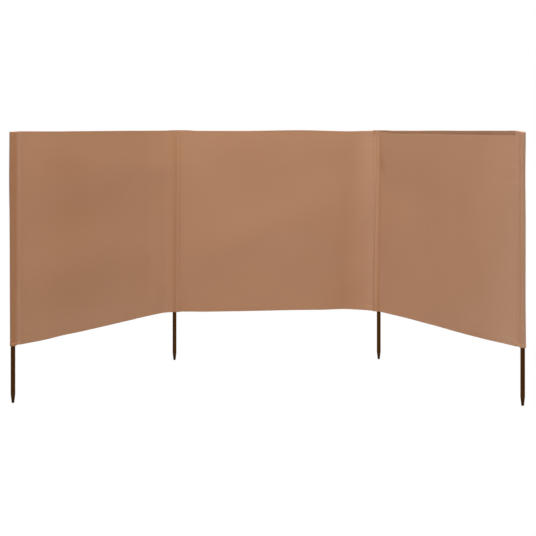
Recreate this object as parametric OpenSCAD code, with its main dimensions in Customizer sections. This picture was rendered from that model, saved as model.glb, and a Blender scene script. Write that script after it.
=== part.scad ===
// Beach windbreak: three bays of plain woven cloth held up by four steel poles.
// Each pole stands in a cloth sleeve that is sewn shut at the top and open at the foot.
// The end bays fold about the inner poles and stand swung towards the sheltered side.
// The origin is the blunt tip of the left inner pole, +X runs along the middle bay to
// the right inner pole, -Y is the sheltered side and +Z is up. All sizes are millimetres.

/* [Bays] */
// Distance between the axes of neighbouring poles
bay_pitch = 1330; // [900:10:1800]
// Height of the cloth from its lower edge to its upper edge
cloth_h = 1180; // [700:10:1600]
// Angle by which the left bay is swung forward from straight
left_swing = 52; // [0:1:100]
// Angle by which the right bay is swung forward from straight
right_swing = 61; // [0:1:100]

/* [Poles] */
// Outside diameter of the steel tube
pole_d = 25; // [20:0.5:32]
// Wall thickness of the steel tube
pole_wall = 1; // [0.8:0.1:2]
// Bare length of pole below the cloth, for driving into the ground
spike_len = 312; // [150:1:500]
// Length over which the lower end of the tube is swaged to a point
tip_len = 50; // [25:1:100]
// Diameter at the blunt end of the point
tip_d = 15; // [13:0.5:18]
// Radius of the rounded rim of the blunt end
tip_round = 4; // [2:0.5:5]
// Thickness of the metal that closes the blunt end
tip_floor = 4; // [2:0.5:8]

/* [Caps] */
// Thickness of the cap's head on top of the tube
cap_head = 4; // [2.5:0.5:8]
// Radius of the rounded rim of the cap's head
cap_round = 2; // [0.5:0.5:2]
// Length of the cap's stem inside the tube
cap_stem = 20; // [8:1:40]
// Gap all round between the cap's stem and the tube
cap_gap = 0.15; // [0.05:0.05:0.4]

/* [Cloth] */
// Thickness of one layer of cloth
cloth_t = 1; // [0.6:0.1:1.5]
// Height of the hems along the upper and lower edges
hem_h = 22; // [12:1:40]
// Width of the sewn strip where a sleeve holds the edge of a panel
seam_w = 12; // [6:1:20]

/* [Sleeves] */
// Distance from an inner pole's axis to the seam of its sleeve
inner_seam = 25; // [22:1:50]
// Room all round between an inner pole and its sleeve
inner_room = 0.5; // [0.3:0.1:2]
// Distance from an end pole's axis to the seam of its sleeve
end_seam = 38; // [26:1:60]
// Room all round between an end pole and its sleeve
end_room = 3; // [0.3:0.1:5]
// Gap between an end bay and the inner sleeve that it folds about
fold_gap = 0.4; // [0.3:0.1:2]

/* [Hidden] */

// Finishes
taupe_cloth = [0.66, 0.49, 0.38];
taupe_hem = [0.61, 0.45, 0.34];
brown_steel = [0.26, 0.16, 0.07];
black_plastic = [0.08, 0.07, 0.07];

// Levels of the cloth and of the tube's upper end
cloth_bottom = spike_len;
cloth_top = spike_len + cloth_h;
cap_top = cloth_top - cloth_t;
tube_top = cap_top - cap_head;

// Radii of the pole and its point
pole_r = pole_d / 2;
bore_r = pole_r - pole_wall;
tip_r = tip_d / 2;

// A hem is the panel's own layer with two turned layers behind it
hem_layers = 3;
hem_t = hem_layers * cloth_t;
fold_r = hem_t / 2;

// Where the cloth of each bay starts and ends, measured along the bay from an inner pole
fold_start = pole_r + inner_room + cloth_t + fold_gap;
end_edge = bay_pitch - end_seam;
middle_edge = bay_pitch - inner_seam;

$fn = 64;

// Point where a line from [x, y] touches the upper side of a circle of radius r
function touch_point(r, x, y) =
    let (a = atan2(y, x) + acos(r / norm([x, y])))
    r * [cos(a), sin(a)];

// Places what is drawn along +X from an inner pole, with +Y its outer side, in the left bay
module in_left_bay() {
    rotate([0, 0, 180 + left_swing])
        mirror([0, 1, 0])
            children();
}

// The same for the right bay
module in_right_bay() {
    translate([bay_pitch, 0, 0])
        rotate([0, 0, -right_swing])
            children();
}

// Places what is drawn about a pole's axis on the end pole of a bay, facing back along the bay
module at_end_pole() {
    translate([bay_pitch, 0, 0])
        mirror([1, 0, 0])
            children();
}

// Steel tube with its lower end swaged to a rounded, closed point
module pole() {
    color(brown_steel)
        rotate_extrude()
            difference() {
                union() {
                    polygon([
                        [0, tip_round], [tip_r, tip_round], [pole_r, tip_len],
                        [pole_r, tube_top], [0, tube_top]
                    ]);
                    square([tip_r - tip_round, tip_round]);
                    intersection() {
                        translate([tip_r - tip_round, tip_round])
                            circle(tip_round);
                        square([tip_r, tip_round]);
                    }
                }
                polygon([
                    [0, tip_floor], [tip_r - tip_round, tip_floor], [bore_r, tip_len],
                    [bore_r, tube_top + 1], [0, tube_top + 1]
                ]);
            }
}

// Plastic cap pushed into the upper end of the tube, so that the rim cannot cut the cloth
module cap() {
    color(black_plastic)
        rotate_extrude() {
            translate([0, tube_top])
                square([pole_r, cap_head - cap_round]);
            translate([0, tube_top])
                square([pole_r - cap_round, cap_head]);
            intersection() {
                translate([pole_r - cap_round, cap_top - cap_round])
                    circle(cap_round);
                translate([0, cap_top - cap_round])
                    square([pole_r, cap_round]);
            }
            translate([0, tube_top - cap_stem])
                square([bore_r - cap_gap, cap_stem]);
        }
}

// Outline of a loop of radius r about a pole that runs tangentially into a flat tail
module loop_outline(r, seam, tail_half, tail_w) {
    touch = touch_point(r, seam, tail_half);
    circle(r);
    polygon([
        touch, [seam, tail_half], [seam + tail_w, tail_half],
        [seam + tail_w, -tail_half], [seam, -tail_half], [touch.x, -touch.y]
    ]);
}

// Loop of cloth round a pole, its two edges sewn to the front and back of a panel's edge.
// The pole enters from below and its cap bears on the closed top.
module sleeve(seam, room) {
    loop_r = pole_r + room;
    color(taupe_cloth) {
        translate([0, 0, cloth_bottom])
            linear_extrude(cloth_h - cloth_t)
                difference() {
                    loop_outline(loop_r + cloth_t, seam, cloth_t * 3 / 2, seam_w);
                    loop_outline(loop_r, seam, cloth_t / 2, seam_w + 1);
                }
        translate([0, 0, cap_top])
            linear_extrude(cloth_t)
                loop_outline(loop_r + cloth_t, seam, cloth_t * 3 / 2, seam_w);
    }
}

// One layer of cloth between two seams, inside the folds of its hems
module panel(start, end) {
    color(taupe_cloth)
        translate([start, -cloth_t / 2, cloth_bottom + fold_r])
            cube([end - start, cloth_t, cloth_h - 2 * fold_r]);
}

// Section of a hem whose fold is at [0, 0] and whose turned layers run down behind the panel
module hem_section() {
    translate([fold_r - cloth_t / 2, -fold_r])
        intersection() {
            circle(fold_r);
            translate([-fold_r, 0])
                square([hem_t, fold_r]);
        }
    translate([cloth_t / 2, -hem_h])
        square([hem_t - cloth_t, hem_h - fold_r]);
}

// Hem along the upper edge of a panel
module top_hem(start, end) {
    color(taupe_hem)
        translate([start, 0, cloth_top])
            rotate([90, 0, 90])
                linear_extrude(end - start)
                    hem_section();
}

// Hem along the lower edge, the same fold turned upside down
module bottom_hem(start, end) {
    translate([0, 0, cloth_bottom + cloth_top])
        mirror([0, 0, 1])
            top_hem(start, end);
}

module left_end_pole() { in_left_bay() at_end_pole() pole(); }
module left_inner_pole() { pole(); }
module right_inner_pole() { translate([bay_pitch, 0, 0]) pole(); }
module right_end_pole() { in_right_bay() at_end_pole() pole(); }

module left_end_cap() { in_left_bay() at_end_pole() cap(); }
module left_inner_cap() { cap(); }
module right_inner_cap() { translate([bay_pitch, 0, 0]) cap(); }
module right_end_cap() { in_right_bay() at_end_pole() cap(); }

module left_end_sleeve() { in_left_bay() at_end_pole() sleeve(end_seam, end_room); }
module left_inner_sleeve() { sleeve(inner_seam, inner_room); }
module right_inner_sleeve() { at_end_pole() sleeve(inner_seam, inner_room); }
module right_end_sleeve() { in_right_bay() at_end_pole() sleeve(end_seam, end_room); }

module left_panel() { in_left_bay() panel(fold_start, end_edge); }
module middle_panel() { panel(inner_seam, middle_edge); }
module right_panel() { in_right_bay() panel(fold_start, end_edge); }

module left_top_hem() { in_left_bay() top_hem(fold_start, end_edge - seam_w); }
module middle_top_hem() { top_hem(inner_seam + seam_w, middle_edge - seam_w); }
module right_top_hem() { in_right_bay() top_hem(fold_start, end_edge - seam_w); }

module left_bottom_hem() { in_left_bay() bottom_hem(fold_start, end_edge - seam_w); }
module middle_bottom_hem() { bottom_hem(inner_seam + seam_w, middle_edge - seam_w); }
module right_bottom_hem() { in_right_bay() bottom_hem(fold_start, end_edge - seam_w); }

left_end_pole();
left_inner_pole();
right_inner_pole();
right_end_pole();
left_end_cap();
left_inner_cap();
right_inner_cap();
right_end_cap();
left_end_sleeve();
left_inner_sleeve();
right_inner_sleeve();
right_end_sleeve();
left_panel();
middle_panel();
right_panel();
left_top_hem();
middle_top_hem();
right_top_hem();
left_bottom_hem();
middle_bottom_hem();
right_bottom_hem();
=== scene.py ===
"""Cloth, finishes, light and camera of a three-bay beach windbreak on four steel poles.

The cloth of each bay is one sheet with double-turned hems. The sheet of an end bay runs on over the front of
its inner pole and is lapped on the middle bay's sheet. A sleeve is a strip of the same cloth round each pole.
Lengths are metres. A stop is a place and the value there, and stops are listed in the order of their places.
"""
import math

import bpy
import numpy as np
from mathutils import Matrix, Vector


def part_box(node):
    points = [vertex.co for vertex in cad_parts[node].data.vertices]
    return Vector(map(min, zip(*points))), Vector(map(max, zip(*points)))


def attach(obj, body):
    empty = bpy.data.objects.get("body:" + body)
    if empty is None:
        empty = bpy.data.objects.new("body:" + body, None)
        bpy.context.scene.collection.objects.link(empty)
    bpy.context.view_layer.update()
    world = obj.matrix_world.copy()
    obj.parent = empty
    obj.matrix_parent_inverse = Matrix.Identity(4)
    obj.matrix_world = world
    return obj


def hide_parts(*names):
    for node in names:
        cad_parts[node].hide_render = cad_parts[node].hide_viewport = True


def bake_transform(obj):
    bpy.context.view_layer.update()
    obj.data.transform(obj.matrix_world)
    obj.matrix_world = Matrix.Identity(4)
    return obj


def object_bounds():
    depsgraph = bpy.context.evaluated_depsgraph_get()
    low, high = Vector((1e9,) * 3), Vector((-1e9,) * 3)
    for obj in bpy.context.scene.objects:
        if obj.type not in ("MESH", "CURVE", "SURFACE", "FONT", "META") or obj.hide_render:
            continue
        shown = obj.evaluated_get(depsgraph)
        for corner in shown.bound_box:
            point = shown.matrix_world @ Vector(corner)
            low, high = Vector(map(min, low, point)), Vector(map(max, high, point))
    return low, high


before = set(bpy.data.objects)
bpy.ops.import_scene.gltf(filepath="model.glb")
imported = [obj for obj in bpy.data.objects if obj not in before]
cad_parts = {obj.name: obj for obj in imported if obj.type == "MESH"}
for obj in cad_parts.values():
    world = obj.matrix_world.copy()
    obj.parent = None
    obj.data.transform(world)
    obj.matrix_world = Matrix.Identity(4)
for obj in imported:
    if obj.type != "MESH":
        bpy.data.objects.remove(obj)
cad_low, cad_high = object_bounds()

MM = 0.001
TINY = 1e-6

# Cloth as it is cut and sewn
CLOTH_T = 0.8 * MM
LAYER = 1.0 * MM
SEWN = 0.95 * LAYER
HEM_H = 22 * MM
RAW_EDGE = 4 * MM
LAP_W = 12 * MM
TURNED_W = 10 * MM
SEAM_BEND = 9 * MM

# Radii of folds in the cloth, just under what the layers leave
HEM_FOLD_R = 0.999 * LAYER
TURN_FOLD_R = 0.499 * LAYER
LAP_FOLD_R = 0.47 * LAYER
TAIL_FOLD_R = 0.45 * LAYER

# Fineness of the meshes
GRID_STEP = 10 * MM
EDGE_STEP = 3 * MM
EDGE_ZONE = 45 * MM
SEAM_ZONE = 80 * MM
SLEEVE_STEP = 4 * MM
CLOSEST = 0.2 * MM
ARC_STEP = math.radians(18)

# Lengths over which folds die out: from an inner pole, from a seam, and of the rolled edge
FREE_EASE = 30 * MM
SEAM_EASE = 45 * MM
ROLL_EASE = 10 * MM

# Sleeves
INNER_SEAM = 25 * MM
END_SEAM = 38 * MM
INNER_ROOM = 0.6 * MM
END_ROOM = 3.0 * MM
FRONT_ROOM = 2.6 * MM
SLEEVE_HEM = 16 * MM
SHOULDER = 3 * MM
LID_STEPS = 8
LID_CLOSING = 0.35
LID_RISING = 0.5

# Thread: a stitch is thickest half way, and the two rows of a seam start from its folded edge
STITCH_L = 3.2 * MM
STITCH_PITCH = 4.2 * MM
THREAD_R = 0.38 * MM
THREAD_SIDES = 5
THREAD_RINGS = ((-0.5, 0.45), (0.0, 1.0), (0.5, 0.45))
FIRST_ROW = 3 * MM
SECOND_ROW = 9 * MM
ROW_MARGIN = 2 * MM
TACK_PITCH = 2.6 * THREAD_R
TACK_FROM = 1 * MM
TACK_TO = 15 * MM
TACK_UP = 4 * MM


def pole_axis(place):
    low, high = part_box(f"{place}_pole")
    return np.array([(low.x + high.x) / 2, (low.y + high.y) / 2])


LEFT_END, LEFT_INNER, RIGHT_INNER, RIGHT_END = map(
    pole_axis, ("left_end", "left_inner", "right_inner", "right_end")
)
POLE_R = (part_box("left_inner_pole")[1].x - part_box("left_inner_pole")[0].x) / 2
CLOTH_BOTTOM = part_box("middle_bottom_hem")[0].z
CLOTH_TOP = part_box("middle_top_hem")[1].z
CLOTH_H = CLOTH_TOP - CLOTH_BOTTOM
CLOTH_MIDDLE = (CLOTH_BOTTOM + CLOTH_TOP) / 2

# Lap of an end bay's sheet on the middle bay's: depths in front of it, and runs from the turned edge on
LAP_BACK = 2 * SEWN
LAP_FRONT = 3 * SEWN
FRONT_R = POLE_R + INNER_ROOM + CLOTH_T + FRONT_ROOM
LAP_EDGE = TURNED_W + SEWN
TURN_RUN = TURNED_W + LAYER
LAP_RUN = TURN_RUN + LAP_W
POLE_RUN = LAP_RUN + math.hypot(INNER_SEAM, FRONT_R - LAP_FRONT)


# Plan of the bays

class Course:
    """A straight course on plan from one pole towards another, with the outer side on one hand."""

    def __init__(self, start, towards, hand):
        self.start = start
        self.hand = hand
        self.length = np.linalg.norm(towards - start)
        self.along = (towards - start) / self.length
        self.outward = hand * np.array([-self.along[1], self.along[0]])

    def point(self, along, outward):
        return self.start + along * self.along + outward * self.outward


MIDDLE = Course(LEFT_INNER, RIGHT_INNER, 1)
LEFT = Course(LEFT_INNER, LEFT_END, -1)
RIGHT = Course(RIGHT_INNER, RIGHT_END, 1)
MIDDLE_FROM_RIGHT = Course(RIGHT_INNER, LEFT_INNER, -1)
LEFT_FROM_END = Course(LEFT_END, LEFT_INNER, 1)
RIGHT_FROM_END = Course(RIGHT_END, RIGHT_INNER, -1)


def eased(t):
    t = np.clip(t, 0, 1)
    return t * t * (3 - 2 * t)


def eased_between(x, stops):
    """Smooth value at x from (place, value) stops, level at each stop."""
    places, values = zip(*stops)
    x = np.clip(x, places[0], places[-1])
    found = np.full(np.shape(x), float(values[0]))
    for (a, low), (b, high) in zip(stops, stops[1:]):
        found = np.where(x >= a, low + (high - low) * eased((x - a) / (b - a)), found)
    return found


def mm_stops(*stops):
    """Stops whose values are in millimetres."""
    return [(place, value * MM) for place, value in stops]


def even(value):
    """Stops of one value all along."""
    return [(0.0, value), (1.0, value)]


def rounded_path(corners, step):
    """Points along straight runs whose corners are rounded off, from (point, radius) pairs."""
    points = [np.asarray(p, float) for p, _ in corners]
    path = [points[0]]

    def run_to(goal):
        start = path[-1]
        count = max(1, math.ceil(np.linalg.norm(goal - start) / step))
        for k in range(1, count + 1):
            path.append(start + (goal - start) * k / count)

    for before, here, after, (_, radius) in zip(points, points[1:], points[2:], corners[1:-1]):
        back, on = before - here, after - here
        back, on = back / np.linalg.norm(back), on / np.linalg.norm(on)
        turn = math.pi - math.acos(np.clip(back @ on, -1, 1))
        if radius == 0 or turn < TINY:
            run_to(here)
            continue
        reach = radius * math.tan(turn / 2)
        middle = (back + on) / np.linalg.norm(back + on)
        centre = here + middle * radius / math.cos(turn / 2)
        first, last = here + back * reach, here + on * reach
        run_to(first)
        count = max(2, math.ceil(turn / ARC_STEP), math.ceil(radius * turn / step))
        for k in range(1, count):
            left, done = math.sin(turn * (1 - k / count)), math.sin(turn * k / count)
            ray = (first - centre) * left + (last - centre) * done
            path.append(centre + ray * radius / np.linalg.norm(ray))
        path.append(last)
    run_to(points[-1])
    return np.array(path)


def run_length(path):
    return np.concatenate([[0], np.cumsum(np.linalg.norm(np.diff(path, axis=0), axis=1))])


def side_of(path, hand):
    """Unit vectors across a plan path, on its outer hand."""
    tangent = np.gradient(path, axis=0)
    tangent /= np.linalg.norm(tangent, axis=1)[:, None]
    return hand * np.stack([-tangent[:, 1], tangent[:, 0]], axis=1)


# Meshes

def mesh_piece(name, points, faces, material, attributes=()):
    mesh = bpy.data.meshes.new(name)
    mesh.from_pydata(points.tolist(), [], faces)
    mesh.polygons.foreach_set("use_smooth", [True] * len(mesh.polygons))
    for label, kind, key, values in attributes:
        layer = mesh.attributes.new(label, kind, "POINT")
        layer.data.foreach_set(key, np.asarray(values, np.float32).ravel())
    mesh.materials.append(material)
    piece = bpy.data.objects.new(name, mesh)
    bpy.context.scene.collection.objects.link(piece)
    return piece


# Sheets of cloth

def hemmed_section(bottom, top):
    """Section of a hemmed sheet, as (depth behind the front layer, height) points.

    It runs up the lower hem's turned-in layer, down its back, up the front and over into the upper hem.
    """
    inner, outer = LAYER, 2 * LAYER
    lower = rounded_path([
        ((inner, bottom + RAW_EDGE), 0),
        ((inner, bottom + HEM_H), TURN_FOLD_R),
        ((outer, bottom + HEM_H), TURN_FOLD_R),
        ((outer, bottom), HEM_FOLD_R),
        ((0, bottom), HEM_FOLD_R),
        ((0, bottom + EDGE_ZONE), 0),
    ], EDGE_STEP)
    front = rounded_path([((0, bottom + EDGE_ZONE), 0), ((0, top - EDGE_ZONE), 0)], GRID_STEP)
    upper = lower[::-1] * (1, -1) + (0, bottom + top)
    return np.concatenate([lower, front[1:-1], upper])


def edge_rise(place, height, top_rise, bottom_rise):
    """How far the cloth stands above its true height, from stops along its upper and lower edges."""
    up = (height - CLOTH_BOTTOM) / CLOTH_H
    rise = eased_between(place, top_rise) * eased(2 * up - 1)
    return rise + eased_between(place, bottom_rise) * eased(1 - 2 * up)


class Sheet:
    """A hung sheet of cloth: its plan path, its soft folds and the rise and fall of its edges.

    The sheet of an end bay is lapped: it starts on the middle bay's seam and hangs free past the inner pole.
    """

    def __init__(self, corners, hand, folds, lapped, top_rise, bottom_rise):
        self.path = rounded_path(corners, EDGE_STEP)
        self.side = side_of(self.path, hand)
        self.run = run_length(self.path)
        self.folds = folds
        self.lapped = lapped
        self.hem_from = LAP_EDGE if lapped else LAP_W
        self.hem_to = self.run[-1] - LAP_W
        self.top_rise = top_rise
        self.bottom_rise = bottom_rise

    def columns(self):
        """Runs that divide the cloth: close together by the seams, and where its hems begin and end."""
        last = self.run[-1]
        by_seams = self.run[(self.run < SEAM_ZONE) | (self.run > last - SEAM_ZONE)]
        count = math.ceil((last - 2 * SEAM_ZONE) / GRID_STEP)
        runs = np.union1d(by_seams, np.linspace(SEAM_ZONE, last - SEAM_ZONE, count))
        ends = np.array([self.hem_from, self.hem_to])
        clear = np.all(np.abs(runs[:, None] - ends) > CLOSEST, axis=1)
        return np.union1d(runs[clear], ends)

    def place(self, run, height, depth):
        """Points at a run along the path, a height and a depth behind the front layer."""
        run, height, depth = np.broadcast_arrays(run, height, depth)
        folds = self.folds(run, self.run[-1] - run, height)
        if self.lapped:
            folds = folds * eased((run - POLE_RUN) / FREE_EASE)
        depth = depth + folds
        rise = edge_rise(run, height, self.top_rise, self.bottom_rise)
        plan = [
            np.interp(run, self.run, self.path[:, k]) + depth * np.interp(run, self.run, self.side[:, k])
            for k in (0, 1)
        ]
        return np.stack([*plan, height + rise], axis=-1)


def grid_faces(columns, rows, kept):
    return [
        (i * rows + j, (i + 1) * rows + j, (i + 1) * rows + j + 1, i * rows + j + 1)
        for i in range(columns - 1) for j in range(rows - 1) if kept[i, j]
    ]


def drop_loose(points, faces, *layers):
    """Leaves out the points that no face uses."""
    used = np.zeros(len(points), bool)
    used[np.unique(np.concatenate([np.asarray(f) for f in faces]))] = True
    number = np.cumsum(used) - 1
    faces = [tuple(int(number[k]) for k in f) for f in faces]
    return points[used], faces, [layer[used] for layer in layers]


def cloth_piece(name, points, faces, cut, tone, material):
    """A layer of cloth with its thickness. Each point keeps its place on the flat cloth and its painted light
    and shade.
    """
    points, faces, (cut, tone) = drop_loose(points, faces, cut, tone)
    piece = mesh_piece(
        name, points, faces, material,
        [("cloth_cut", "FLOAT_VECTOR", "vector", cut), ("painted_shading", "FLOAT", "value", tone)],
    )
    solid = piece.modifiers.new("cloth thickness", "SOLIDIFY")
    solid.thickness = CLOTH_T
    solid.offset = 0
    solid.use_rim = True
    return piece


def bay_sheet(name, sheet, painted_shading, material):
    """The cloth of one bay. The turned edge of a lapped sheet is one layer that stops short of the hems."""
    section = hemmed_section(CLOTH_BOTTOM, CLOTH_TOP)
    depth, height = section[:, 0], section[:, 1]
    across = sheet.columns()
    columns, rows = len(across), len(section)
    run = np.repeat(across, rows)
    points = sheet.place(run, np.tile(height, columns), np.tile(depth, columns))
    cut = np.stack([run, np.tile(run_length(section), columns), np.zeros(len(run))], axis=1)
    front = depth < TINY
    clear = np.abs(height - CLOTH_MIDDLE) < CLOTH_H / 2 - HEM_H
    edge = front & clear if sheet.lapped else front
    hemmed = (across[:-1] >= sheet.hem_from) & (across[1:] <= sheet.hem_to)
    before = across[:-1] < sheet.hem_from
    kept = np.where(before[:, None], edge[:-1] & edge[1:], front[:-1] & front[1:]) | hemmed[:, None]
    # Painted light and shade of the cloth at each point
    tone = painted_shading(run, np.tile(height, columns))
    return cloth_piece(name, points, grid_faces(columns, rows, kept), cut, tone, material)


# Stitching

def stitches(name, rows, material):
    """Rows of short threads. A row is their middles, the way they run and the way they stand off."""
    sides = range(THREAD_SIDES)
    angles = [2 * math.pi * s / THREAD_SIDES for s in sides]
    threads = []
    for centres, along, off in rows:
        across = np.cross(along, off)
        threads.append(np.stack([
            centres + along * share * STITCH_L
            + THREAD_R * thickness * (across * math.cos(a) + off * math.sin(a))
            for share, thickness in THREAD_RINGS for a in angles
        ], axis=1))
    points = np.concatenate(threads)
    per_thread = points.shape[1]
    last = per_thread - THREAD_SIDES
    skin = [
        (ring + s, ring + t, ring + t + THREAD_SIDES, ring + s + THREAD_SIDES)
        for ring in range(0, last, THREAD_SIDES) for s, t in zip(sides, [*sides[1:], 0])
    ]
    skin += [tuple(reversed(sides)), tuple(last + s for s in sides)]
    bases = range(0, len(points) * per_thread, per_thread)
    faces = [tuple(base + k for k in face) for base in bases for face in skin]
    return mesh_piece(name, points.reshape(-1, 3), faces, material)


def unit(rows):
    return rows / np.linalg.norm(rows, axis=-1)[:, None]


def row_on(surface, places, depth, way):
    """A row of stitches through surface(places, depth), which stands off towards more or less depth."""
    middle = surface(places, depth)
    along = unit(surface(places + CLOSEST, depth) - surface(places - CLOSEST, depth))
    off = unit(surface(places, depth + way * MM) - middle)
    off = unit(off - along * np.sum(off * along, axis=1)[:, None])
    return middle, along, off


def row_places(first, last):
    return np.arange(first + STITCH_PITCH / 2, last, STITCH_PITCH)


def level_row(cloth, height, first, last, depth, way):
    """Stitching along a cloth at one height."""
    return row_on(lambda run, d: cloth.place(run, height, d), row_places(first, last), depth, way)


def upright_row(cloth, run, depth, way):
    """Stitching up a cloth at one run along its path."""
    places = row_places(CLOTH_BOTTOM + SLEEVE_HEM + ROW_MARGIN, CLOTH_TOP - SHOULDER - ROW_MARGIN)
    return row_on(lambda height, d: cloth.place(run, height, d), places, depth, way)


def hem_rows(sheet):
    """Stitching along both hems, on the front face and on the turned layer behind."""
    inset = HEM_H - FIRST_ROW
    return [
        level_row(sheet, height, sheet.hem_from, sheet.hem_to, depth, way)
        for height in (CLOTH_BOTTOM + inset, CLOTH_TOP - inset)
        for depth, way in ((-CLOTH_T / 2, -1), (2 * LAYER + CLOTH_T / 2, 1))
    ]


def bar_tack(sheet, first, last, height):
    """Upright stitches packed side by side across the foot of a seam."""
    places = np.arange(first, last, TACK_PITCH)
    centres = sheet.place(places, height, -CLOTH_T / 2)
    off = unit(sheet.place(places, height, -CLOTH_T / 2 - MM) - centres)
    return centres, np.tile([0.0, 0.0, 1.0], (len(places), 1)), off


def lap_rows(sheet):
    """Two rows up the lapped edge of an end bay's sheet, and the bar tack at its foot."""
    runs = (TURN_RUN + FIRST_ROW, TURN_RUN + SECOND_ROW)
    tack = bar_tack(sheet, TURN_RUN + TACK_FROM, TURN_RUN + TACK_TO, CLOTH_BOTTOM + HEM_H + TACK_UP)
    return [upright_row(sheet, run, -CLOTH_T / 2, -1) for run in runs] + [tack]


# Sleeves

def sleeve_section(seam, loop_r, turned_front):
    """Plan of a sleeve about its pole: tail, loop and tail, with the tails' edges turned under."""
    def tail(hand, turned):
        gap = 2 * SEWN if turned else SEWN
        touch = math.atan2(gap, seam) + math.acos(loop_r / math.hypot(seam, gap))
        corners = [
            ((-loop_r, hand * loop_r * (1 + math.cos(touch)) / math.sin(touch)), loop_r),
            ((seam, hand * gap), SEAM_BEND),
            ((seam + LAP_W, hand * gap), TAIL_FOLD_R if turned else 0),
        ]
        if turned:
            corners.append(((seam + LAP_W, hand * SEWN), TAIL_FOLD_R))
            corners.append(((seam + LAP_W - TURNED_W, hand * SEWN), 0))
        return corners

    return rounded_path(list(reversed(tail(1, True))) + tail(-1, turned_front), SLEEVE_STEP)


class Sleeve:
    """A strip of cloth round one pole, sewn shut at the top and turned up outside at the foot."""

    def __init__(self, course, seam, room, turned_front, swell, top_rise, bottom_rise, painted_sleeve_shading):
        self.course = course
        self.seam = seam
        self.turned_front = turned_front
        self.swell = swell
        self.top_rise = top_rise
        self.bottom_rise = bottom_rise
        self.painted_sleeve_shading = painted_sleeve_shading
        self.path = sleeve_section(seam, POLE_R + room + CLOTH_T / 2, turned_front)
        self.side = side_of(self.path, -1)
        self.run = run_length(self.path)

    def place(self, run, height, depth):
        """Points at a run round the sleeve, a height and a depth outside its middle."""
        run, height, depth = np.broadcast_arrays(run, height, depth)
        along, across = (np.interp(run, self.run, self.path[:, k]) for k in (0, 1))
        off_along, off_across = (np.interp(run, self.run, self.side[:, k]) for k in (0, 1))
        depth = depth + eased_between(height, self.swell) * np.clip(1 - along / self.seam, 0, 2)
        along, across = along + depth * off_along, across + depth * off_across
        plan = self.course.point(along[..., None], across[..., None])
        rise = edge_rise(along, height, self.top_rise, self.bottom_rise)
        return np.concatenate([plan, (height + rise)[..., None]], axis=-1)

    def piece(self, name, material):
        """The cloth from its turned foot up to the closed top, with painted light and shade that change
        across the pole.
        """
        foot = rounded_path([
            ((LAYER, CLOTH_BOTTOM + SLEEVE_HEM), 0),
            ((LAYER, CLOTH_BOTTOM), TURN_FOLD_R),
            ((0, CLOTH_BOTTOM), TURN_FOLD_R),
            ((0, CLOTH_TOP - SHOULDER), 0),
        ], GRID_STEP)
        lid = np.linspace(0, math.pi / 2, LID_STEPS + 1)[1:]
        columns, rows = len(self.path), len(foot) + len(lid)
        wall = self.place(self.run[:, None], foot[None, :, 1], foot[None, :, 0])
        # Above the shoulder the two sides draw together over the cap
        rim = wall[:, -1]
        away = ((rim[:, :2] - self.course.start) @ self.course.outward)[:, None] * self.course.outward
        closing = np.repeat(rim[:, None, :], len(lid), axis=1)
        closing[:, :, :2] -= away[:, None, :] * (1 - np.cos(lid) ** LID_CLOSING)[None, :, None]
        closing[:, :, 2] += ((SHOULDER - CLOTH_T / 2) * np.sin(lid) ** LID_RISING)[None, :]
        points = np.concatenate([wall, closing], axis=1)
        # A tail under a lap stops short of the hems, and a turned edge stops short of the turned foot
        level = np.concatenate([foot[:, 1], np.full(len(lid), CLOTH_TOP)])
        in_hem = np.abs(level - CLOTH_MIDDLE) > CLOTH_H / 2 - HEM_H
        under_lap = (self.path[:, 0] > self.seam) & (self.path[:, 1] < 0) & (not self.turned_front)
        turned = self.run < TURNED_W
        turned = turned | ((self.run > self.run[-1] - TURNED_W) & self.turned_front)
        outside = np.concatenate([foot[:, 0] > TINY, np.zeros(len(lid), bool)])
        last = rows - 1
        faces = []
        for i in range(columns - 1):
            for j in range(rows - 1):
                if under_lap[i] and (in_hem[j] or in_hem[j + 1]):
                    continue
                if turned[i] and (outside[j] or outside[j + 1]):
                    continue
                ring = [i * rows + j, (i + 1) * rows + j, (i + 1) * rows + j + 1, i * rows + j + 1]
                if j == last - 1 and self.turned_front:
                    ring[2] = min(i + 1, columns - 2 - i) * rows + last
                    ring[3] = min(i, columns - 1 - i) * rows + last
                ring = tuple(dict.fromkeys(ring))
                if len(ring) > 2:
                    faces.append(ring)
        cut = np.zeros((columns, rows, 3))
        cut[:, :, 0] = self.run[:, None]
        up = run_length(foot)
        cut[:, :, 1] = np.concatenate([up, up[-1] + lid * POLE_R])[None, :]
        # Painted light and shade of the sleeve, by place round the pole
        tone = np.repeat(eased_between(self.path[:, 0], self.painted_sleeve_shading), rows)
        return cloth_piece(name, points.reshape(-1, 3), faces, cut.reshape(-1, 3), tone, material)

    def stitch_rows(self):
        """Two rows up each tail that shows, and one round the turned foot."""
        tail_runs = [TURN_RUN + FIRST_ROW, TURN_RUN + SECOND_ROW]
        if self.turned_front:
            tail_runs += [self.run[-1] - run for run in tail_runs]
        rows = [upright_row(self, run, CLOTH_T / 2, 1) for run in tail_runs]
        first = TURN_RUN + LAP_W
        last = self.run[-1] - (first if self.turned_front else LAP_W)
        height = CLOTH_BOTTOM + SLEEVE_HEM - FIRST_ROW
        rows.append(level_row(self, height, first, last, LAYER + CLOTH_T / 2, 1))
        return rows


# Materials

CLOTH_COLOUR = (0.3438, 0.1800, 0.1065)
THREAD_COLOUR = (0.300, 0.140, 0.070)
COAT_COLOUR = (0.049, 0.0175, 0.0028)
COAT_RUBBED = (0.075, 0.042, 0.020)
CAP_COLOUR = (0.012, 0.011, 0.011)
CAP_RUBBED = (0.040, 0.038, 0.036)
THREADS_PER_METRE = 1500.0
# Darkening by painted shade for each unit of the cloth's painted light and shade
PAINTED_SHADE_LOSS = 0.10
DRIVEN_H = 0.16
TIP_H = 0.05


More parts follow.
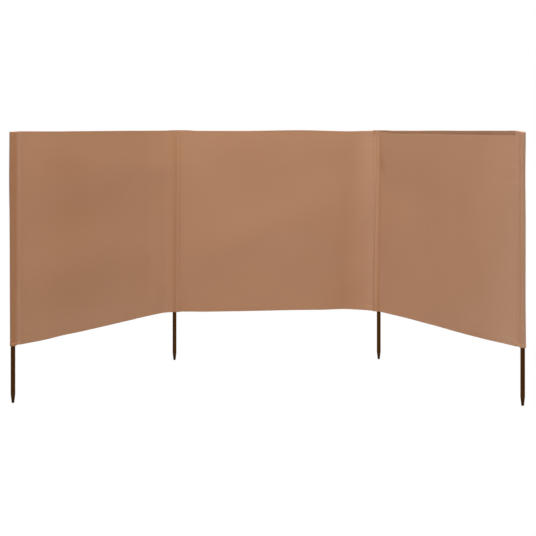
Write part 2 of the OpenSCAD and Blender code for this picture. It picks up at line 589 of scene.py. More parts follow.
def node_group(name, inputs, outputs):
    tree = bpy.data.node_groups.new(name, "ShaderNodeTree")
    for label, kind, value in inputs:
        socket = tree.interface.new_socket(label, in_out="INPUT", socket_type=f"NodeSocket{kind}")
        if value is not None:
            socket.default_value = value
    for label, kind in outputs:
        tree.interface.new_socket(label, in_out="OUTPUT", socket_type=f"NodeSocket{kind}")
    return tree, tree.nodes.new("NodeGroupInput").outputs, tree.nodes.new("NodeGroupOutput").inputs


def link(tree, source, goal):
    tree.links.new(source, goal)


def math_node(tree, operation, *values):
    node = tree.nodes.new("ShaderNodeMath")
    node.operation = operation
    for socket, value in zip(node.inputs, values):
        if isinstance(value, (int, float)):
            socket.default_value = value
        else:
            link(tree, value, socket)
    return node.outputs[0]


def noise(tree, vector, scale, detail=2.0, stretch=None):
    if stretch:
        mapping = tree.nodes.new("ShaderNodeMapping")
        mapping.inputs["Scale"].default_value = stretch
        link(tree, vector, mapping.inputs["Vector"])
        vector = mapping.outputs["Vector"]
    node = tree.nodes.new("ShaderNodeTexNoise")
    node.inputs["Scale"].default_value = scale
    node.inputs["Detail"].default_value = detail
    link(tree, vector, node.inputs["Vector"])
    return node.outputs["Fac"]


def span(tree, value, low, high, to_low, to_high):
    node = tree.nodes.new("ShaderNodeMapRange")
    parts = {"Value": value, "From Min": low, "From Max": high, "To Min": to_low, "To Max": to_high}
    for label, part in parts.items():
        if isinstance(part, (int, float)):
            node.inputs[label].default_value = part
        else:
            link(tree, part, node.inputs[label])
    return node.outputs["Result"]


def tinted(tree, colour, factor):
    """Colour times a grey factor."""
    node = tree.nodes.new("ShaderNodeVectorMath")
    node.operation = "SCALE"
    link(tree, colour, node.inputs[0])
    link(tree, factor, node.inputs["Scale"])
    return node.outputs["Vector"]


def rubbed_colour(tree, mask, plain, rubbed):
    """Plain colour that gives way to a rubbed one by a mask."""
    node = tree.nodes.new("ShaderNodeMix")
    node.data_type = "RGBA"
    node.inputs["A"].default_value = (*plain, 1)
    node.inputs["B"].default_value = (*rubbed, 1)
    link(tree, mask, node.inputs["Factor"])
    return node.outputs["Result"]


def plain_weave_group():
    """Threads that pass over and under each other, as a height and as the dark gaps between them."""
    tree, given, out = node_group(
        "plain weave",
        [("Cut", "Vector", None), ("Threads per metre", "Float", 1600.0)],
        [("Height", "Float"), ("Gaps", "Float")],
    )
    parts = tree.nodes.new("ShaderNodeSeparateXYZ")
    link(tree, given["Cut"], parts.inputs[0])
    turn = math_node(tree, "MULTIPLY", given["Threads per metre"], math.pi)
    warp = math_node(tree, "SINE", math_node(tree, "MULTIPLY", parts.outputs["X"], turn))
    weft = math_node(tree, "SINE", math_node(tree, "MULTIPLY", parts.outputs["Y"], turn))
    link(tree, math_node(tree, "MULTIPLY", warp, weft), out["Height"])
    ridge = math_node(tree, "MAXIMUM", math_node(tree, "ABSOLUTE", warp), math_node(tree, "ABSOLUTE", weft))
    link(tree, math_node(tree, "SUBTRACT", 1.0, ridge), out["Gaps"])
    return tree


def dye_group():
    """Uneven dye: thicker threads along both ways of the cloth, and soft patches."""
    tree, given, out = node_group(
        "uneven dye",
        [("Cut", "Vector", None), ("Colour", "Color", (0.4, 0.2, 0.1, 1)), ("Slubs", "Float", 0.05),
         ("Patches", "Float", 0.05)],
        [("Colour", "Color"), ("Tone", "Float")],
    )
    along = noise(tree, given["Cut"], 1.0, 1.0, (14.0, 900.0, 1.0))
    across = noise(tree, given["Cut"], 1.0, 1.0, (900.0, 11.0, 1.0))
    slub = math_node(tree, "SUBTRACT", math_node(tree, "ADD", along, across), 1.0)
    patch = math_node(tree, "SUBTRACT", noise(tree, given["Cut"], 4.5, 3.0), 0.5)
    tone = math_node(
        tree, "ADD",
        math_node(tree, "MULTIPLY", slub, given["Slubs"]),
        math_node(tree, "MULTIPLY", patch, given["Patches"]),
    )
    tone = math_node(tree, "ADD", tone, 1.0)
    link(tree, tinted(tree, given["Colour"], tone), out["Colour"])
    link(tree, tone, out["Tone"])
    return tree


def painted_shading_group():
    """Painted light and shade: the colour goes darker and browner where the value is above nought, as where a
    pole or more layers lie behind thin cloth, and lighter where it is below nought.
    """
    tree, given, out = node_group(
        "darker over backing",
        [("Colour", "Color", (0.4, 0.2, 0.1, 1)), ("Backing", "Float", 0.0), ("Darkening", "Float", 0.1)],
        [("Colour", "Color")],
    )
    loss = math_node(tree, "MULTIPLY", given["Backing"], given["Darkening"])
    kept = tree.nodes.new("ShaderNodeCombineColor")
    for channel, share in (("Red", 0.6), ("Green", 1.0), ("Blue", 1.5)):
        lost = math_node(tree, "MULTIPLY", loss, share)
        link(tree, math_node(tree, "SUBTRACT", 1.0, lost), kept.inputs[channel])
    backed = tree.nodes.new("ShaderNodeVectorMath")
    backed.operation = "MULTIPLY"
    link(tree, given["Colour"], backed.inputs[0])
    link(tree, kept.outputs["Color"], backed.inputs[1])
    link(tree, backed.outputs["Vector"], out["Colour"])
    return tree


def speckle_group():
    """Fine stipple of sprayed or moulded surfaces, as a height and a tone."""
    tree, given, out = node_group(
        "fine stipple",
        [("Place", "Vector", None), ("Grains per metre", "Float", 900.0)],
        [("Height", "Float"), ("Tone", "Float")],
    )
    grain = tree.nodes.new("ShaderNodeTexNoise")
    grain.inputs["Detail"].default_value = 2.0
    link(tree, given["Place"], grain.inputs["Vector"])
    link(tree, given["Grains per metre"], grain.inputs["Scale"])
    link(tree, grain.outputs["Fac"], out["Height"])
    link(tree, span(tree, grain.outputs["Fac"], 0.3, 0.7, 0.0, 1.0), out["Tone"])
    return tree


def scuff_group():
    """Rub marks that run up and down a pole or round a cap, as a mask."""
    tree, given, out = node_group(
        "rub marks",
        [("Place", "Vector", None), ("Amount", "Float", 0.5)],
        [("Mask", "Float")],
    )
    fine = noise(tree, given["Place"], 1.0, 4.0, (520.0, 520.0, 16.0))
    broad = noise(tree, given["Place"], 9.0, 2.0)
    both = math_node(tree, "MULTIPLY", fine, broad)
    edge = math_node(tree, "SUBTRACT", 0.62, math_node(tree, "MULTIPLY", given["Amount"], 0.35))
    link(tree, span(tree, both, edge, math_node(tree, "ADD", edge, 0.12), 0.0, 1.0), out["Mask"])
    return tree


PLAIN_WEAVE = plain_weave_group()
UNEVEN_DYE = dye_group()
PAINTED_SHADING_NODE = painted_shading_group()
FINE_STIPPLE = speckle_group()
RUB_MARKS = scuff_group()


def new_material(name):
    material = bpy.data.materials.new(name)
    material.use_nodes = True
    tree = material.node_tree
    return material, tree, tree.nodes["Principled BSDF"]


def placed(tree, group, **values):
    """A node group in a material, with its inputs set or linked by label."""
    node = tree.nodes.new("ShaderNodeGroup")
    node.node_tree = group
    for label, value in values.items():
        socket = node.inputs[label.replace("_", " ")]
        if isinstance(value, bpy.types.NodeSocket):
            link(tree, value, socket)
        else:
            socket.default_value = value
    return node.outputs


def attribute(tree, name, output):
    node = tree.nodes.new("ShaderNodeAttribute")
    node.attribute_name = name
    return node.outputs[output]


def bump(tree, height, distance, strength, shader):
    node = tree.nodes.new("ShaderNodeBump")
    node.inputs["Distance"].default_value = distance
    node.inputs["Strength"].default_value = strength
    link(tree, height, node.inputs["Height"])
    link(tree, node.outputs["Normal"], shader.inputs["Normal"])


def cloth_material(name):
    material, tree, shader = new_material(name)
    cut = attribute(tree, "cloth_cut", "Vector")
    weave = placed(tree, PLAIN_WEAVE, Cut=cut, Threads_per_metre=THREADS_PER_METRE)
    dyed = placed(tree, UNEVEN_DYE, Cut=cut, Colour=(*CLOTH_COLOUR, 1), Slubs=0.06, Patches=0.05)
    gaps = span(tree, weave["Gaps"], 0.25, 0.75, 1.0, 0.82)
    woven = tinted(tree, dyed["Colour"], gaps)
    # Painted light and shade of the cloth from each point: above nought painted shade, below nought painted
    # light
    behind = attribute(tree, "painted_shading", "Fac")
    backed = placed(tree, PAINTED_SHADING_NODE, Colour=woven, Backing=behind, Darkening=PAINTED_SHADE_LOSS)
    link(tree, backed["Colour"], shader.inputs["Base Color"])
    link(tree, span(tree, dyed["Tone"], 0.92, 1.08, 0.74, 0.60), shader.inputs["Roughness"])
    shader.inputs["Specular IOR Level"].default_value = 0.22
    shader.inputs["Sheen Weight"].default_value = 0.05
    shader.inputs["Sheen Roughness"].default_value = 0.45
    bump(tree, weave["Height"], 0.12 * MM, 0.6, shader)
    return material


def thread_material():
    material, tree, shader = new_material("seam thread")
    place = tree.nodes.new("ShaderNodeTexCoord").outputs["Object"]
    stipple = placed(tree, FINE_STIPPLE, Place=place, Grains_per_metre=2400.0)
    dyed = placed(tree, UNEVEN_DYE, Cut=place, Colour=(*THREAD_COLOUR, 1), Slubs=0.04, Patches=0.06)
    shade = span(tree, stipple["Tone"], 0.0, 1.0, 0.86, 1.06)
    link(tree, tinted(tree, dyed["Colour"], shade), shader.inputs["Base Color"])
    link(tree, span(tree, stipple["Tone"], 0.0, 1.0, 0.72, 0.5), shader.inputs["Roughness"])
    bump(tree, stipple["Height"], 0.08 * MM, 0.7, shader)
    return material


def pole_material():
    material, tree, shader = new_material("brown powder coat")
    place = tree.nodes.new("ShaderNodeTexCoord").outputs["Object"]
    stipple = placed(tree, FINE_STIPPLE, Place=place, Grains_per_metre=1100.0)
    rubbed = placed(tree, RUB_MARKS, Place=place, Amount=0.55)["Mask"]
    level = tree.nodes.new("ShaderNodeSeparateXYZ")
    link(tree, place, level.inputs[0])
    driven = span(tree, level.outputs["Z"], 0.0, DRIVEN_H, 1.0, 0.0)
    mark = math_node(tree, "MULTIPLY", rubbed, span(tree, driven, 0.0, 1.0, 0.25, 1.0))
    tint = rubbed_colour(tree, math_node(tree, "MULTIPLY", mark, 0.6), COAT_COLOUR, COAT_RUBBED)
    shade = math_node(
        tree, "MULTIPLY",
        span(tree, stipple["Tone"], 0.0, 1.0, 0.88, 1.10),
        span(tree, level.outputs["Z"], 0.0, TIP_H, 0.55, 1.0),
    )
    link(tree, tinted(tree, tint, shade), shader.inputs["Base Color"])
    link(tree, span(tree, mark, 0.0, 1.0, 0.40, 0.58), shader.inputs["Roughness"])
    shader.inputs["Specular IOR Level"].default_value = 0.03
    bump(tree, stipple["Height"], 0.15 * MM, 0.35, shader)
    return material


def cap_material():
    material, tree, shader = new_material("black moulded plastic")
    place = tree.nodes.new("ShaderNodeTexCoord").outputs["Object"]
    stipple = placed(tree, FINE_STIPPLE, Place=place, Grains_per_metre=1500.0)
    rubbed = placed(tree, RUB_MARKS, Place=place, Amount=0.4)["Mask"]
    tint = rubbed_colour(tree, math_node(tree, "MULTIPLY", rubbed, 0.7), CAP_COLOUR, CAP_RUBBED)
    link(tree, tint, shader.inputs["Base Color"])
    link(tree, span(tree, stipple["Tone"], 0.0, 1.0, 0.46, 0.60), shader.inputs["Roughness"])
    bump(tree, stipple["Height"], 0.1 * MM, 0.5, shader)
    return material


BAY_CLOTH = cloth_material("taupe bay cloth")
SLEEVE_CLOTH = cloth_material("taupe sleeve cloth")
THREAD = thread_material()
POLE_COAT = pole_material()
CAP_PLASTIC = cap_material()

for node_name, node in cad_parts.items():
    finish = {"pole": POLE_COAT, "cap": CAP_PLASTIC}.get(node_name.rsplit("_", 1)[-1])
    if finish:
        node.data.materials.clear()
        node.data.materials.append(finish)


# Folds of the three sheets

END_STOP = LEFT.length - END_SEAM

# Turn of an end bay's cloth at its inner pole, and its bends on plan: place along, place outward, radius
LEFT_TURN_R = 20 * MM
LEFT_BENDS = [
    (0.07, 0.010, 0.2), (0.20, 0.028, 0.5), (0.40, 0.030, 1.5), (0.75, 0.008, 4.0), (1.12, -0.010, 1.5),
]
RIGHT_TURN_R = 16 * MM
RIGHT_BENDS = [(0.42, 0.014, 1.5), (0.80, -0.010, 1.5), (1.04, -0.010, 2.0)]

# Pinch in the right bay's cloth beside its inner pole
PINCH_RUN = POLE_RUN + 22 * MM
PINCH_UP = CLOTH_TOP - 0.24

# Soft folds: place along and up the cloth, widths across and along the fold, lean, depth
LEFT_FOLDS = [
    (0.80, 1.26, 0.17, 0.50, 84, -5.5 * MM),
    (0.18, 1.25, 0.055, 0.13, 90, -2.8 * MM),
    (0.86, 0.72, 0.19, 0.46, 78, -7 * MM),
]
MIDDLE_FOLDS = [
    (1.13, 0.70, 0.07, 0.60, 0, 6 * MM),
    (1.12, 0.40, 0.07, 0.22, 0, 2.5 * MM),
    (0.52, 0.83, 0.15, 0.60, -68, -6 * MM),
    (1.05, 0.62, 0.10, 0.35, -55, 3 * MM),
    (1.16, 0.90, 0.020, 0.55, 0, 1.4 * MM),
    (1.22, 0.80, 0.016, 0.60, 0, -1.2 * MM),
]
RIGHT_FOLDS = [
    (PINCH_RUN, PINCH_UP, 24 * MM, 60 * MM, 8, 6 * MM),
    (0.28, 1.10, 0.17, 0.30, 90, 6 * MM),
    (0.80, 1.05, 0.12, 0.45, -40, 3 * MM),
    (1.10, 0.80, 0.10, 0.60, -12, -3 * MM),
]

# Slack at the foot: place along the cloth, half width, height, depth
LEFT_SLACK = [(0.14, 0.07, 0.14, 9 * MM), (0.60, 0.45, 0.36, -5 * MM)]
MIDDLE_SLACK = [(0.95, 0.35, 0.22, 8 * MM)]
RIGHT_SLACK = []

# Swell of the middle bay: lengths over which it comes and goes, and its share that is even up the cloth
SWELL = 40 * MM
SWELL_RISE = 1.0
SWELL_FALL = 0.17
SWELL_TOP = 0.45
SWELL_EVEN = 0.9

# Rolled upper edge of the right bay
ROLL_WIDTHS = mm_stops((0.06, 12), (0.22, 19), (0.6, 20), (1.25, 24))
ROLL_SLOPES = [(0.15, 0.10), (0.60, 0.12), (1.20, 0.21)]
GROOVE = 1 * MM
GROOVE_W = 6 * MM

# Gathers: depths, how far they reach, and the ripples that they are made of
LEFT_END_GATHER = 0.7 * MM
LEFT_INNER_GATHER = 0.7 * MM
RIGHT_INNER_GATHER = 0.9 * MM
RIGHT_END_GATHER = 0.8 * MM
HEM_GATHER = 0.35 * MM
GATHER_START = 12 * MM
GATHER_REACH = 35 * MM
HEM_REACH = 50 * MM
SEAM_RIPPLE = {"fine": 160, "stray": 1.7, "drift": 23, "share": 0.6, "broad": 71, "shift": 2.0}
HEM_RIPPLE = {"fine": 210, "stray": 2.1, "drift": 17, "share": 0.7, "broad": 88, "shift": 1.0}


def lapped_corners(seam_course, bay_course, turn_r, bends):
    """Plan of an end bay's sheet: from its turned edge over the front of the inner pole and along the bay."""
    lap_end = INNER_SEAM + LAP_W
    corners = [
        (seam_course.point(lap_end - TURNED_W, -LAP_BACK), 0),
        (seam_course.point(lap_end, -LAP_BACK), LAP_FOLD_R),
        (seam_course.point(lap_end, -LAP_FRONT), LAP_FOLD_R),
        (seam_course.point(INNER_SEAM, -LAP_FRONT), SEAM_BEND),
        (seam_course.point(0, -FRONT_R), turn_r),
    ]
    corners += [(bay_course.point(along, outward), radius) for along, outward, radius in bends]
    corners.append((bay_course.point(END_STOP, 0), 0))
    return corners


def soft_fold(run, height, at, up, across, along, lean, depth):
    """One long shallow fold that leans from upright by an angle in degrees."""
    x, z = run - at, height - up
    c, s = math.cos(math.radians(lean)), math.sin(math.radians(lean))
    return depth * np.exp(-((x * c + z * s) / across) ** 2 - ((z * c - x * s) / along) ** 2)


def slack_foot(run, height, at, reach, up, depth):
    """Cloth that hangs out of line near its lower edge."""
    return depth * np.exp(-((run - at) / reach) ** 2) * np.exp(-((height - CLOTH_BOTTOM) / up) ** 2)


def all_of(shape, run, height, sizes):
    """Sum of one kind of shape, each with its own sizes."""
    return sum(shape(run, height, *own) for own in sizes)


def ripple(place, fine, stray, drift, share, broad, shift):
    """Uneven ripple: fine waves that stray from their beat, and a share of broad ones."""
    return np.sin(place * fine + stray * np.sin(place * drift)) + share * np.sin(place * broad + shift)


def let_go(away):
    """How free the cloth is at a distance from its edge: not at all where the seam clasps it."""
    return eased((away - LAP_W) / SEAM_EASE)


def seam_gathers(away, height, depth):
    """Small gathers beside a seam that fade out with the distance from the cloth's edge."""
    away = np.clip(away - LAP_W, 0, None)
    return depth * ripple(height, **SEAM_RIPPLE) * np.exp(-away / GATHER_REACH) * eased(away / GATHER_START)


def hem_gathers(run, height):
    """Small gathers along both hems."""
    away = np.clip(np.minimum(height - CLOTH_BOTTOM, CLOTH_TOP - height), 0, None)
    return HEM_GATHER * ripple(run, **HEM_RIPPLE) * np.exp(-(away / HEM_REACH) ** 2)


def rolled_edge(run, height):
    """Upper edge that rolls forward, with a shallow groove along the foot of the roll."""
    above = height - (CLOTH_TOP - eased_between(run, ROLL_WIDTHS))
    groove = GROOVE * np.exp(-(above / GROOVE_W) ** 2)
    return groove - eased_between(run, ROLL_SLOPES) * np.clip(above, 0, None)


def loose(run, height, slack, folds):
    """What the cloth does between its seams."""
    hung = all_of(slack_foot, run, height, slack) + all_of(soft_fold, run, height, folds)
    return hung + hem_gathers(run, height)


def left_folds(run, to_end, height):
    hung = loose(run, height, LEFT_SLACK, LEFT_FOLDS) * let_go(to_end)
    return hung + seam_gathers(to_end, height, LEFT_END_GATHER)


def middle_folds(run, to_end, height):
    swell = SWELL * eased(run / SWELL_RISE) * eased((to_end - LAP_W) / SWELL_FALL)
    low = eased((CLOTH_TOP - height) / SWELL_TOP)
    swell = swell * (SWELL_EVEN + (1 - SWELL_EVEN) * low)
    hung = loose(run, height, MIDDLE_SLACK, MIDDLE_FOLDS) * let_go(run) * let_go(to_end)
    gathers = seam_gathers(run, height, LEFT_INNER_GATHER) + seam_gathers(to_end, height, RIGHT_INNER_GATHER)
    return swell + hung + gathers


def right_folds(run, to_end, height):
    roll = rolled_edge(run, height) * eased((to_end - LAP_W) / ROLL_EASE)
    hung = loose(run, height, RIGHT_SLACK, RIGHT_FOLDS) * let_go(to_end)
    return roll + hung + seam_gathers(to_end, height, RIGHT_END_GATHER)


LEFT_SHEET = Sheet(
    lapped_corners(MIDDLE, LEFT, LEFT_TURN_R, LEFT_BENDS), LEFT.hand, left_folds, lapped=True,
    top_rise=mm_stops((0.0, 1.3), (0.06, 1), (0.12, -1), (0.50, 0.5), (1.0, 1.5), (1.33, 4)),
    bottom_rise=mm_stops(
        (0.0, 1.5), (0.12, 4.5), (0.28, 3.5), (0.45, 0.7), (0.85, 1.2), (1.02, 3.2), (1.15, 0.8), (1.33, 1),
    ),
)
MIDDLE_SHEET = Sheet(
    [(MIDDLE.point(INNER_SEAM, 0), 0), (MIDDLE.point(MIDDLE.length - INNER_SEAM, 0), 0)],
    MIDDLE.hand, middle_folds, lapped=False,
    top_rise=mm_stops(
        (0.0, 1.3), (0.04, 1.3), (0.14, -3.3), (0.40, -3.9), (0.79, 0.6), (1.13, -6.5), (1.21, -4.2),
        (1.26, -2.3), (1.28, 0),
    ),
    bottom_rise=mm_stops(
        (0.0, 2.2), (0.08, 2.2), (0.16, 0.5), (0.40, 1), (0.78, 2.6), (0.92, 2.4), (1.07, 6.5), (1.14, 5),
        (1.21, 6), (1.26, 4), (1.28, 1),
    ),
)
RIGHT_SHEET = Sheet(
    lapped_corners(MIDDLE_FROM_RIGHT, RIGHT, RIGHT_TURN_R, RIGHT_BENDS), RIGHT.hand, right_folds, lapped=True,
    top_rise=mm_stops(
        (0.0, 0.4), (0.06, 0.4), (0.12, 0.7), (0.19, -1), (0.30, 0), (0.76, 4), (1.19, 7), (1.30, 8.5),
        (1.33, 7.5),
    ),
    bottom_rise=mm_stops(
        (0.0, 2), (0.10, 1.5), (0.28, 1), (0.48, -1.8), (0.66, 0.4), (1.10, 1), (1.25, 2.5),
    ),
)


# Painted light and shade of the cloth: painted shade over a pole, more layers, seams, folds and hems and,
# below nought, painted light

HEM_SOFT = 2 * MM
FOLD_LINE = 3 * MM
FOLD_SHADE = 2.5
# Painted shade over the inner pole, painted shadow at the lap's edge, and painted highlights on the bend and
# the turned edge of the lap
POLE_SHADE_W = 11 * MM
LAP_SHADE_IN = 2 * MM
LAP_SHADE_W = 3 * MM
LAP_LIGHT = 1.3
LAP_LIGHT_OUT = 2 * MM
LAP_LIGHT_W = 3.5 * MM
EDGE_LIGHT_OUT = 1 * MM
EDGE_LIGHT_W = 4 * MM
SEAM_TOP = CLOTH_TOP - 1.4 * HEM_H
SEAM_SOFT = 8 * MM
# Painted light grows from this share at the top of the cloth to one more at its foot
PAINTED_LIGHT_AT_TOP = 0.4

# The middle bay's own painted light and shade, along the cloth and up it: painted light towards the right
# seam, and painted light and shade just by it
MIDDLE_HEM_SHADE = 0.2
MIDDLE_PAINTED_LIGHT = [(1.14, 0), (1.25, 0.75)]
MIDDLE_PAINTED_LIGHT_UP = [(0.7, 0), (1.2, 1)]
SEAM_PAINTED_SHADE = [(1.09, 0), (1.145, -0.35), (1.20, -0.1), (1.235, 0.4), (1.262, 1.3)]
SEAM_PAINTED_SHADE_UP = [(0.7, 1.0), (1.2, 0.6)]

# Soft patches of painted light and shade, with sizes as for a fold and a tone in place of its depth: above
# nought painted shade, below nought painted light
LEFT_PAINTED_PATCHES = [
    (1.00, 1.31, 0.22, 0.09, 0, 0.75),
    (0.60, 1.45, 0.30, 0.06, 0, 0.35),
    (0.85, 1.03, 0.30, 0.12, 0, 0.50),
    (0.40, 0.80, 0.25, 0.11, 0, -0.55),
    (0.14, 0.72, 0.14, 0.36, 0, -0.40),
    (0.95, 0.37, 0.42, 0.09, 0, -0.65),
]
MIDDLE_PAINTED_PATCHES = [
    (0.42, 1.30, 0.28, 0.18, 0, 0.55),
    (1.08, 0.40, 0.13, 0.12, 0, 0.60),
    (0.72, 0.77, 0.15, 0.08, 0, -0.40),
    (0.95, 1.17, 0.15, 0.08, 0, -0.35),
    (0.05, 0.72, 0.10, 0.36, 0, -0.35),
]
RIGHT_PAINTED_PATCHES = [
    # Painted shade beside the pinch in the right bay's cloth
    (PINCH_RUN + 5 * MM, PINCH_UP, 28 * MM, 55 * MM, 20, 1.3),
    (0.88, 1.05, 0.08, 0.12, 0, 0.50),
    (0.98, 0.42, 0.13, 0.10, 0, -0.45),
    (0.53, 0.68, 0.12, 0.07, 0, -0.25),
    (1.26, 0.36, 0.10, 0.06, 0, -0.45),
]


def in_top_hem(height):
    return eased((height - (CLOTH_TOP - HEM_H)) / HEM_SOFT)


def folded_edge(height):
    """Painted shade: a dark line along the fold of the upper hem."""
    return FOLD_SHADE * eased((height - (CLOTH_TOP - FOLD_LINE)) / HEM_SOFT)


def end_bay_painted_shading(top_shade, painted_light, painted_seam_lean, pole_at, pole_shade, lap_shade, patches):
    """Painted light and shade of an end bay's sheet: painted shade over its hems and the inner pole behind
    it, painted shadow and highlight at the seam, and painted light over part of the cloth.

    The painted shade and highlight at the seam stray along the cloth from its foot to its top.
    """
    def painted_shading(run, height):
        here = run - eased_between(height, painted_seam_lean)
        off_pole = (here - POLE_RUN - pole_at) / POLE_SHADE_W
        off_lap = (here - LAP_EDGE - LAP_SHADE_IN) / LAP_SHADE_W
        off_bend = (here - LAP_RUN + LAP_LIGHT_OUT) / LAP_LIGHT_W
        # Painted highlights on the bend of the lap and on its turned edge
        light = np.exp(-off_bend ** 2) + eased((LAP_EDGE - EDGE_LIGHT_OUT - here) / EDGE_LIGHT_W)
        # Painted shade over the pole and painted shadow along the lap's edge
        dark = eased_between(height, pole_shade) * np.exp(-off_pole ** 4) + lap_shade * np.exp(-off_lap ** 2)
        seam = (dark - LAP_LIGHT * light) * eased((SEAM_TOP - height) / SEAM_SOFT)
        # Painted shade on the upper hem and along its fold
        top = in_top_hem(height) * eased_between(run, top_shade) + folded_edge(height)
        low = (CLOTH_TOP - height) / CLOTH_H
        # Painted light, more towards the foot of the cloth
        painted_lighter = eased_between(run, painted_light) * (PAINTED_LIGHT_AT_TOP + low)
        return seam + top + all_of(soft_fold, run, height, patches) - painted_lighter

    return painted_shading


def middle_painted_shading(run, height):
    """Painted light and shade of the middle bay's sheet: painted shade on its upper hem and along its fold,
    painted light towards its right seam, and painted shade right at the seam.
    """
    hem = MIDDLE_HEM_SHADE * in_top_hem(height) + folded_edge(height)
    # Painted light towards the right seam, more up the cloth
    painted_lighter = eased_between(run, MIDDLE_PAINTED_LIGHT) * eased_between(height, MIDDLE_PAINTED_LIGHT_UP)
    # Painted light just short of the right seam and painted shade at it
    painted_seam_shade = eased_between(run, SEAM_PAINTED_SHADE) * eased_between(height, SEAM_PAINTED_SHADE_UP)
    return hem - painted_lighter - painted_seam_shade + all_of(soft_fold, run, height, MIDDLE_PAINTED_PATCHES)


# Build the cloth

SHEETS = {"left": LEFT_SHEET, "middle": MIDDLE_SHEET, "right": RIGHT_SHEET}
# Painted light and shade of each bay's sheet
PAINTED_SHADINGS = {
    "left": end_bay_painted_shading(
        top_shade=even(0.2),
        painted_light=[(0.05, 0), (0.12, 1.0), (0.50, 1.0), (1.0, 0.2)],
        painted_seam_lean=mm_stops((0.40, 7), (0.90, 4), (1.20, 0)),
        pole_at=-10 * MM,
        pole_shade=even(1.05),
        lap_shade=1.5,
        patches=LEFT_PAINTED_PATCHES,
    ),
    "middle": middle_painted_shading,
    "right": end_bay_painted_shading(
        top_shade=[(0.0, 0.4), (1.33, 0.6)],
        painted_light=[(1.00, 0), (1.18, 0.6), (1.28, 1.1)],
        painted_seam_lean=mm_stops((0.40, 0), (0.75, 7), (1.00, 14), (1.27, 21), (1.45, 23)),
        pole_at=-5 * MM,
        pole_shade=[(0.4, 1.6), (0.75, 1.0), (1.41, 0.7)],
        lap_shade=0.9,
        patches=RIGHT_PAINTED_PATCHES,
    ),
}
cloths = {
    side: bay_sheet(f"{side}_cloth", sheet, PAINTED_SHADINGS[side], BAY_CLOTH) for side, sheet in SHEETS.items()
}


def inner_sleeve(course):
    """A straight sleeve whose front tail lies under the lap of an end bay's sheet."""
    return Sleeve(
        course, INNER_SEAM, INNER_ROOM, turned_front=False,
        # Painted shade over the pole in the sleeve
        swell=even(0), top_rise=even(0.6 * MM), bottom_rise=even(0), painted_sleeve_shading=[(2.5 * MM, 1.0), (15 * MM, 0)],
    )


SLEEVES = {
    "left_end": Sleeve(
        LEFT_FROM_END, END_SEAM, END_ROOM, turned_front=True,
        swell=mm_stops((CLOTH_BOTTOM, 0), (0.8, 1), (1.0, 1.8), (1.22, 3.6), (CLOTH_TOP, 2.4)),
        top_rise=mm_stops((-POLE_R, 2), (END_SEAM, 5)),
        bottom_rise=mm_stops((0.0, 3), (END_SEAM, 5.5)),
        # Painted shade on the side of the sleeve turned from the lamps, and painted light on its tail
        painted_sleeve_shading=[
            (-18 * MM, 2.6), (-10 * MM, 2.8), (-4 * MM, 2.4), (4 * MM, 1.6), (12 * MM, 0.9), (22 * MM, -0.1),
            (34 * MM, 0), (END_SEAM, -1.9),
        ],
    ),
    "left_inner": inner_sleeve(MIDDLE),
    "right_inner": inner_sleeve(MIDDLE_FROM_RIGHT),
    "right_end": Sleeve(
        RIGHT_FROM_END, END_SEAM, END_ROOM, turned_front=True,
        swell=mm_stops((CLOTH_BOTTOM, 1.2), (0.6, -0.3), (1.0, 0.1), (1.25, -1.2), (CLOTH_TOP, 0.5)),
        top_rise=mm_stops((-POLE_R, 0), (0.0, 4), (END_SEAM, 8)),
        bottom_rise=mm_stops((0.0, 7), (END_SEAM, 9)),
        # Painted light on the sleeve's far side and on its tail
        painted_sleeve_shading=[
            (-16 * MM, -2.8), (-12 * MM, -2.1), (-6 * MM, -0.4), (0, 0), (12 * MM, 0), (22 * MM, -0.8),
            (END_SEAM, -1.4),
        ],
    ),
}
SLEEVES_OF = {"left": ["left_end"], "middle": ["left_inner", "right_inner"], "right": ["right_end"]}

for side, places in SLEEVES_OF.items():
    for place in places:
        sleeve = SLEEVES[place]
        piece = sleeve.piece(f"{place}_sleeve_cloth", SLEEVE_CLOTH)
        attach(piece, f"{side}_bay")
        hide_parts(f"{place}_sleeve")

# Places along the middle bay and outward from its inner pole between which an end bay's cloth would bend; the
# points are worked out below, but nothing bends the cloth
BEND_FROM = (6 * MM, 0)
BEND_TO = (-46 * MM, -22 * MM)
for side, sheet in SHEETS.items():
    rows = hem_rows(sheet)
    if sheet.lapped:
        rows += lap_rows(sheet)
    for place in SLEEVES_OF[side]:
        rows += SLEEVES[place].stitch_rows()
    cloth = cloths[side]
    stitching = stitches(f"{side}_stitching", rows, THREAD)
    for piece in (cloth, stitching):
        if sheet.lapped:
            inward = {"left": MIDDLE, "right": MIDDLE_FROM_RIGHT}[side]
            start = [*inward.point(*BEND_FROM), CLOTH_BOTTOM]
            end = [*inward.point(*BEND_TO), CLOTH_BOTTOM]
            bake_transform(piece)
        else:
            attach(piece, "middle_bay")
    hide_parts(f"{side}_panel", f"{side}_top_hem", f"{side}_bottom_hem")


# Floor, light and camera

FLOOR_HALF = 30.0
FLOOR_BOUNCE = 0.45
WORLD_FILL = 0.30

# Soft boxes: place, width, power, colour
SOFT_BOXES = {
    "left soft box": ((-3.5, -4.5, 4.0), 3.0, 122, (0.78, 1.0, 1.25)),
    "overhead soft box": ((0.5, -1.6, 5.5), 4.0, 103, (1.10, 1.0, 0.75)),
    "high soft box": ((0.5, -2.5, 9.0), 6.0, 1100, (1.07, 1.0, 0.85)),
    "right soft box": ((5.2, -1.0, 2.0), 2.0, 51, (1.0, 1.0, 1.0)),
    "back soft box": ((0.7, 5.5, 3.5), 4.0, 210, (1.0, 1.0, 1.0)),
}

# Camera, with the width of its sensor and its focal length in millimetres
CAMERA_PLACE = (0.4714, -7.0215, 1.5577)
CAMERA_TURN = -0.0194
SENSOR_W = 36
FOCAL_LENGTH = 72.46
LENS_SHIFT = -0.2756


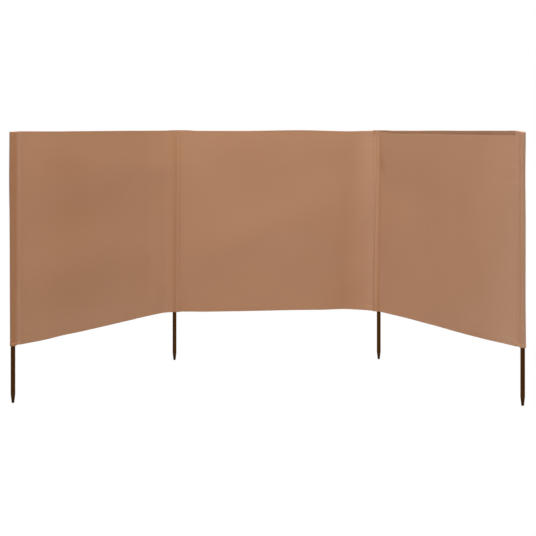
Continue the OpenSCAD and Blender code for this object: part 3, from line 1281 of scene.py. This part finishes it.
def floor():
    centre = MIDDLE.point(MIDDLE.length / 2, 0)
    corners = np.array([
        [centre[0] + a * FLOOR_HALF, centre[1] + b * FLOOR_HALF, 0]
        for a, b in ((-1, -1), (1, -1), (1, 1), (-1, 1))
    ])
    material, tree, shader = new_material("white studio floor")
    shader.inputs["Roughness"].default_value = 0.9
    shader.inputs["Specular IOR Level"].default_value = 0.0
    shader.inputs["Emission Strength"].default_value = 1.0
    seen = tree.nodes.new("ShaderNodeLightPath").outputs["Is Camera Ray"]
    link(tree, seen, shader.inputs["Emission Color"])
    link(tree, span(tree, seen, 0.0, 1.0, FLOOR_BOUNCE, 0.0), shader.inputs["Base Color"])
    piece = mesh_piece("studio_floor", corners, [(0, 1, 2, 3)], material)


def studio_world():
    """Even white light, and plain white where the camera sees past the object."""
    world = bpy.data.worlds.new("studio")
    bpy.context.scene.world = world
    world.use_nodes = True
    tree = world.node_tree
    background = tree.nodes["Background"]
    background.inputs["Color"].default_value = (1, 1, 1, 1)
    seen = tree.nodes.new("ShaderNodeLightPath").outputs["Is Camera Ray"]
    link(tree, span(tree, seen, 0.0, 1.0, WORLD_FILL, 1.0), background.inputs["Strength"])


def soft_light(name, location, aim, size, power, colour):
    lamp = bpy.data.lights.new(name, "AREA")
    lamp.shape = "SQUARE"
    lamp.size = size
    lamp.energy = power
    lamp.color = colour
    holder = bpy.data.objects.new(name, lamp)
    bpy.context.scene.collection.objects.link(holder)
    holder.location = location
    holder.rotation_euler = (aim - holder.location).to_track_quat("-Z", "Y").to_euler()


def camera():
    """Level camera with its lens shifted down, so that the poles stand upright in the picture."""
    lens = bpy.data.cameras.new("camera")
    lens.sensor_width = SENSOR_W
    lens.lens = FOCAL_LENGTH
    lens.shift_y = LENS_SHIFT
    holder = bpy.data.objects.new("camera", lens)
    bpy.context.scene.collection.objects.link(holder)
    holder.location = CAMERA_PLACE
    holder.rotation_euler = (math.pi / 2, 0, CAMERA_TURN)
    bpy.context.scene.camera = holder


floor()
studio_world()
for name, (location, size, power, colour) in SOFT_BOXES.items():
    soft_light(name, location, (cad_low + cad_high) / 2, size, power, colour)
camera()
bpy.context.scene.view_settings.view_transform = "Standard"
